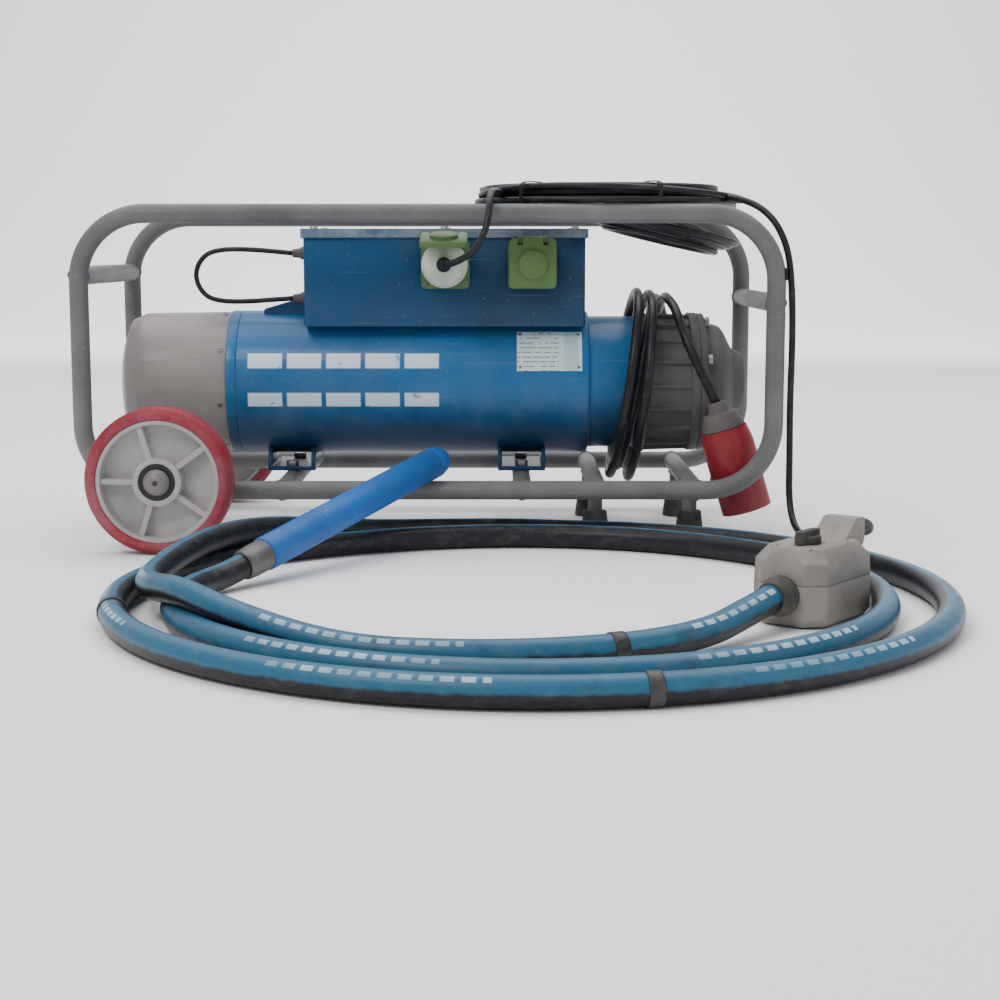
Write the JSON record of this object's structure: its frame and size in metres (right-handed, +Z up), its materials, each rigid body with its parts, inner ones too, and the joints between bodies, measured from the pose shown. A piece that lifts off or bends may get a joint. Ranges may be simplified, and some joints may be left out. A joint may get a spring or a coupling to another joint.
{
  "type": "concrete vibrator",
  "caption": "Electric concrete vibrator set: rotary frequency converter in a wheeled tube frame, with a poker head on a long hose, inline switch box and plug cables.",
  "frame": {"origin": "on the floor, under the middle of the box round the machine and its poker head", "axes": "+X along the machine, from the wheels to the cable end; +Y from the operator's side to the back; +Z up"},
  "size_m": [1.066, 1.3469, 0.4775],
  "materials": {
    "frame_paint": "semi-gloss, scuffed",
    "zinc_steel": "zinc plated",
    "black_rubber": "matt",
    "red_tread": "worn polyurethane",
    "wheel_grey": "satin",
    "bearing_steel": "oiled",
    "blue_paint": "gloss",
    "box_paint": "gloss",
    "cover_paint": "satin",
    "cast_grey": "painted casting",
    "core_steel": "stacked sheet",
    "winding_copper": "varnished",
    "contact_brass": "bright",
    "socket_green": "moulded",
    "plug_cream": "moulded",
    "poker_blue": "worn paint",
    "collar_grey": "worn",
    "hose_rubber": "ribbed hose with a coloured stripe",
    "cable_rubber": "matt",
    "switch_grey": "moulded",
    "plug_red": "moulded",
    "plug_grey": "moulded",
    "plate_metal": "printed plate"
  },
  "bodies": {
    "machine": {"axle_retainers": "zinc_steel", "ball_bearings": "bearing_steel", "box_gasket": "black_rubber", "box_lid": "box_paint", "box_lid_screws": "zinc_steel", "cable_glands": "plug_grey", "cross_tubes": "frame_paint", "end_bell": "cast_grey", "fan_cover": "cover_paint", "fan_end_shield": "blue_paint", "frame_legs": "frame_paint", "frame_loop_front": "frame_paint", "frame_loop_rear": "frame_paint", "generator_casting": "cast_grey", "hex_bolts": "zinc_steel", "hf_cable_coil": "cable_rubber", "hf_cable_drop": "cable_rubber", "hf_cable_run": "cable_rubber", "hf_plug": "plug_cream", "housing_feet": "blue_paint", "lid_hinge_pins": "zinc_steel", "mains_cable_coil": "cable_rubber", "mains_cable_drop": "cable_rubber", "mains_cable_lead": "cable_rubber", "mains_plug_body": "plug_red", "mains_plug_grip": "plug_grey", "mains_plug_pins": "contact_brass", "poker_casing": "poker_blue", "poker_collar": "collar_grey", "poker_hose_coil": "hose_rubber", "poker_hose_lead": "hose_rubber", "poker_hose_tail": "hose_rubber", "poker_stator": "core_steel", "poker_tip": "poker_blue", "rating_plate": "plate_metal", "rubber_feet": "black_rubber", "side_cable_loop": "cable_rubber", "socket_bodies": "socket_green", "socket_contacts": "contact_brass", "stator_cores": "core_steel", "stator_housing": "blue_paint", "stator_windings": "winding_copper", "switch_box_base": "switch_grey", "switch_box_cover": "switch_grey", "switch_glands": "black_rubber", "terminal_box": "box_paint", "wheel_axle": "zinc_steel"},
    "wheel_front": {"wheel_front_tyre": "red_tread", "wheel_front_hub": "wheel_grey", "wheel_front_bearing": "bearing_steel"},
    "wheel_rear": {"wheel_rear_tyre": "red_tread", "wheel_rear_hub": "wheel_grey", "wheel_rear_bearing": "bearing_steel"},
    "converter_rotor": {"rotor_shaft": "zinc_steel", "rotor_cores": "core_steel", "cooling_fan": "cover_paint"},
    "poker_rotor": {"poker_rotor": "zinc_steel"},
    "socket_lid_left": {"socket_lid_left": "socket_green"},
    "socket_lid_right": {"socket_lid_right": "socket_green"},
    "switch_lever": {"switch_lever": "black_rubber"}
  },
  "joints": [
    {"name": "wheel_front_spin", "type": "hinge", "parent": "machine", "child": "wheel_front", "pos_m": [-0.344, -0.136, 0.095], "axis": [0, 1, 0], "continuous": true},
    {"name": "wheel_rear_spin", "type": "hinge", "parent": "machine", "child": "wheel_rear", "pos_m": [-0.344, 0.354, 0.095], "axis": [0, 1, 0], "continuous": true},
    {"name": "converter_rotor_spin", "type": "hinge", "parent": "machine", "child": "converter_rotor", "pos_m": [0, 0.109, 0.205], "axis": [1, 0, 0], "continuous": true},
    {"name": "poker_rotor_spin", "type": "hinge", "parent": "machine", "child": "poker_rotor", "pos_m": [-0.192, -0.358, 0.03], "axis": [0.5439, 0.8108, 0.2161], "continuous": true},
    {"name": "socket_lid_left_swing", "type": "hinge", "parent": "machine", "child": "socket_lid_left", "pos_m": [0.021, -0.014, 0.403], "axis": [-1, 0, 0], "range_deg": [0, 16], "stiffness_Nm_per_rad": 0.03, "springref_deg": -77.92},
    {"name": "socket_lid_right_swing", "type": "hinge", "parent": "machine", "child": "socket_lid_right", "pos_m": [0.139, -0.014, 0.403], "axis": [-1, 0, 0], "range_deg": [0, 94], "stiffness_Nm_per_rad": 0.03, "springref_deg": -17.19},
    {"name": "switch_lever_turn", "type": "hinge", "parent": "machine", "child": "switch_lever", "pos_m": [0.42061, -0.56246, 0.0824], "axis": [0, 0, 1], "range_deg": [0, 90]}
  ]
}
